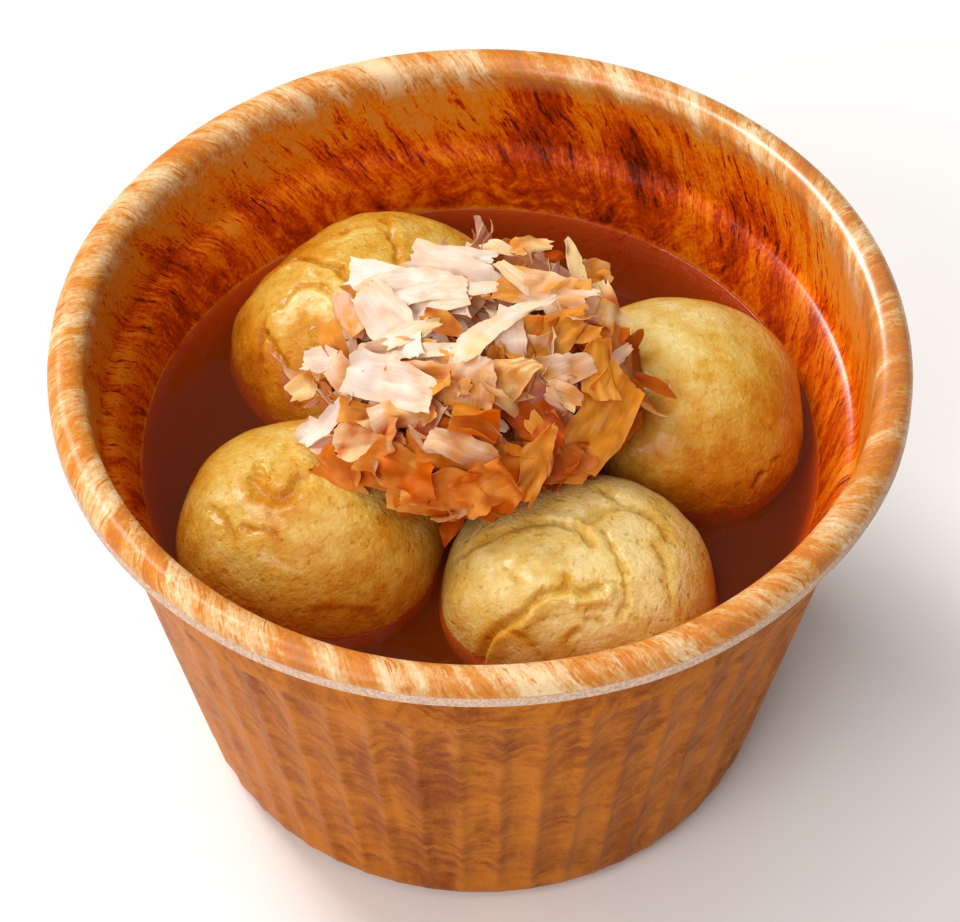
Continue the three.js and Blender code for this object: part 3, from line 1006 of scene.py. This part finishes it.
lay(-131, 64, 0.0205, 12, 0.0082, 0.0027, (white, cream), roll=80, curl=-40)
lay(-112, 38, 0.0228, 60, 0.0052, 0.003, (rust, pink), roll=200)
lay(-100, 31, 0.0219, -6, 0.014, 0.0067, (amber, honey), curl=-30, roll=50, fold=(0.3, 0.4))
lay(-113, 23, 0.0235, 20, 0.0117, 0.005, (peach, amber), curl=-30, roll=70)
lay(53, 64, 0.0218, -60, 0.0061, 0.0033, (cream, pink), roll=90, curl=-50)
lay(76, 51, 0.0229, -20, 0.0052, 0.0024, (white, cream), roll=120, curl=-60)
lay(-5, 45, 0.0229, -20, 0.0064, 0.0033, (peach, honey), roll=80, fold=(0.0, 0.7))
lay(-23, 31, 0.0241, 30, 0.0055, 0.003, (amber, peach), roll=60)
lay(150, 64, 0.0208, 25, 0.0165, 0.0085, (white, pink), roll=30, curl=25, fold=(-0.2, 0.4))
lay(112, 62, 0.0212, -15, 0.015, 0.007, (pink, white), roll=-40, curl=-30, taper=0.5)
lay(-176, 54, 0.0216, -35, 0.014, 0.0075, (pink, white), roll=60, fold=(0.2, 0.5), skew=0.2)
lay(-150, 52, 0.0205, 15, 0.015, 0.008, (pink, peach), roll=40, curl=30, taper=0.3)
lay(-120, 50, 0.0206, 10, 0.016, 0.0085, (pink, peach), roll=50, curl=-20, fold=(0.1, 0.4))
lay(-70, 56, 0.0196, 40, 0.016, 0.0085, (peach, cream), roll=60, curl=20, fold=(-0.3, 0.5))
lay(30, 58, 0.0212, -35, 0.014, 0.0075, (peach, pink), roll=70, curl=-30, fold=(0.1, 0.5))
lay(-15, 55, 0.0208, 20, 0.013, 0.008, (peach, honey), roll=60, curl=30, taper=0.5)
lay(-133, 24, 0.0246, 15, 0.012, 0.006, (cream, amber), roll=-90, curl=60, crumple=0.0024, fold=(0.3, 0.6))
lay(-118, 19, 0.0256, -25, 0.013, 0.0058, (peach, amber), roll=-80, curl=70, crumple=0.0024, taper=0.2)
lay(-101, 15, 0.0254, 4, 0.014, 0.0066, (peach, amber), roll=90, curl=-40, crumple=0.0022, fray=0.6)
lay(-84, 17, 0.025, 35, 0.012, 0.0062, (peach, amber), roll=-90, curl=60, crumple=0.0024, fold=(-0.2, 0.6))
lay(-66, 22, 0.0242, 60, 0.0125, 0.0062, (honey, peach), roll=110, curl=50, crumple=0.0022, taper=0.6)
lay(-20, 36, 0.0244, 70, 0.011, 0.0058, (peach, honey), roll=-90, curl=80, crumple=0.0022)
lay(12, 42, 0.024, -50, 0.011, 0.0052, (honey, cream), roll=120, curl=-60, crumple=0.0022)
lay(-95, 30, 0.0238, -20, 0.011, 0.005, (pink, peach), roll=120, curl=-70, crumple=0.0022, twist=0.5)
lay(-125, 36, 0.0236, 25, 0.011, 0.0048, (pink, peach), roll=-120, curl=60, crumple=0.0022, twist=-0.4)

bonito = bonito_finish()
scattered_count = 360
scattered = [scattered_flake(seed) for seed in range(1, scattered_count + 1)]
joined_flakes("bonito_flakes_heap", scattered, bonito)
joined_flakes("bonito_flakes_on_top", laid, bonito)

# The inside of the heap, where the flakes are packed. It fills the gaps between the others, and
# its dark amber is partly a painted shade for those gaps
core_share = 0.6
core_roughness = 0.0016
core_grid = skin_rays[::4, ::4]
core_rays = core_grid.reshape(-1, 3)
core_reach = heap_reach(core_rays) * core_share
core_reach += core_roughness * rough_field(core_rays * 0.02, 0.006, 90, octaves=2)
core_rows = (heap_centre + core_rays * core_reach[:, None]).reshape(core_grid.shape)


def core_finish():
    finish = Finish("packed_flakes")
    place = finish.node("ShaderNodeTexCoord", output="Object")
    layers = finish.clouds(finish.vector("MULTIPLY", place, (1, 1, 3)), 400, detail=4, roughness=0.6)
    colour = finish.blend(layers.between(0.35, 0.65), ink(176, 74, 6), ink(228, 130, 36))
    surface = finish.node("ShaderNodeBsdfPrincipled", None, {
        "Base Color": colour,
        "Roughness": 0.6,
        "Normal": finish.relief(layers, 0.0008),
    })
    return finish.done(surface)


core = closed_skin("bonito_flakes_core", core_rows, core_finish())
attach(core, "root")
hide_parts("bonito_flakes")


# -------------------------------------------------------------------------- table and lights
# A plain pale table top under three large soft lamps: one overhead, a stronger one like a window
# high behind the bowl on the left, and one in front on the left that with the pale room fills the
# shade.
def table_finish():
    finish = Finish("pale_table")
    surface = finish.node("ShaderNodeBsdfPrincipled", None, {
        "Base Color": ink(252, 251, 250),
        "Roughness": 0.7,
        "Specular IOR Level": 0.2,
    })
    return finish.done(surface)


table_half = 3.0
table_corners = table_half * np.array([(-1, -1, 0), (1, -1, 0), (1, 1, 0), (-1, 1, 0)])
table = made_piece("table_top", table_corners, [(0, 1, 2, 3)], table_finish(), {})


def soft_lamp(name, place, aim, along, size, power, colour):
    """A rectangular lamp at place that shines at aim, with its longer side in the direction along."""
    data = bpy.data.lights.new(name, "AREA")
    data.shape = "RECTANGLE"
    data.size, data.size_y = size
    data.energy = power
    data.color = colour
    back = (Vector(place) - Vector(aim)).normalized()
    side = Vector(along)
    side = (side - side.dot(back) * back).normalized()
    lamp = bpy.data.objects.new(name, data)
    lamp.matrix_world = Matrix((side, back.cross(side), back)).transposed().to_4x4()
    lamp.location = place
    bpy.context.scene.collection.objects.link(lamp)


food = (0, 0, rim_height)
soft_lamp("overhead", (0, -0.1, 1.1), food, (1, 0, 0), (0.9, 0.9), 3.8, (1.0, 0.99, 0.98))
soft_lamp("window", (-0.55, 0.47, 0.9), food, (0.37, -0.42, 0.52), (0.85, 0.30), 10.0, (1.0, 0.98, 0.95))
soft_lamp("front_left", (-0.5, -0.8, 0.75), food, (1, -0.6, 0), (0.7, 0.7), 7.6, (1.0, 0.98, 0.96))
room = bpy.data.worlds.new("pale_room")
room.use_nodes = True
room.node_tree.nodes["Background"].inputs["Color"].default_value = (1.0, 0.98, 0.96, 1)
room.node_tree.nodes["Background"].inputs["Strength"].default_value = 0.2
bpy.context.scene.world = room
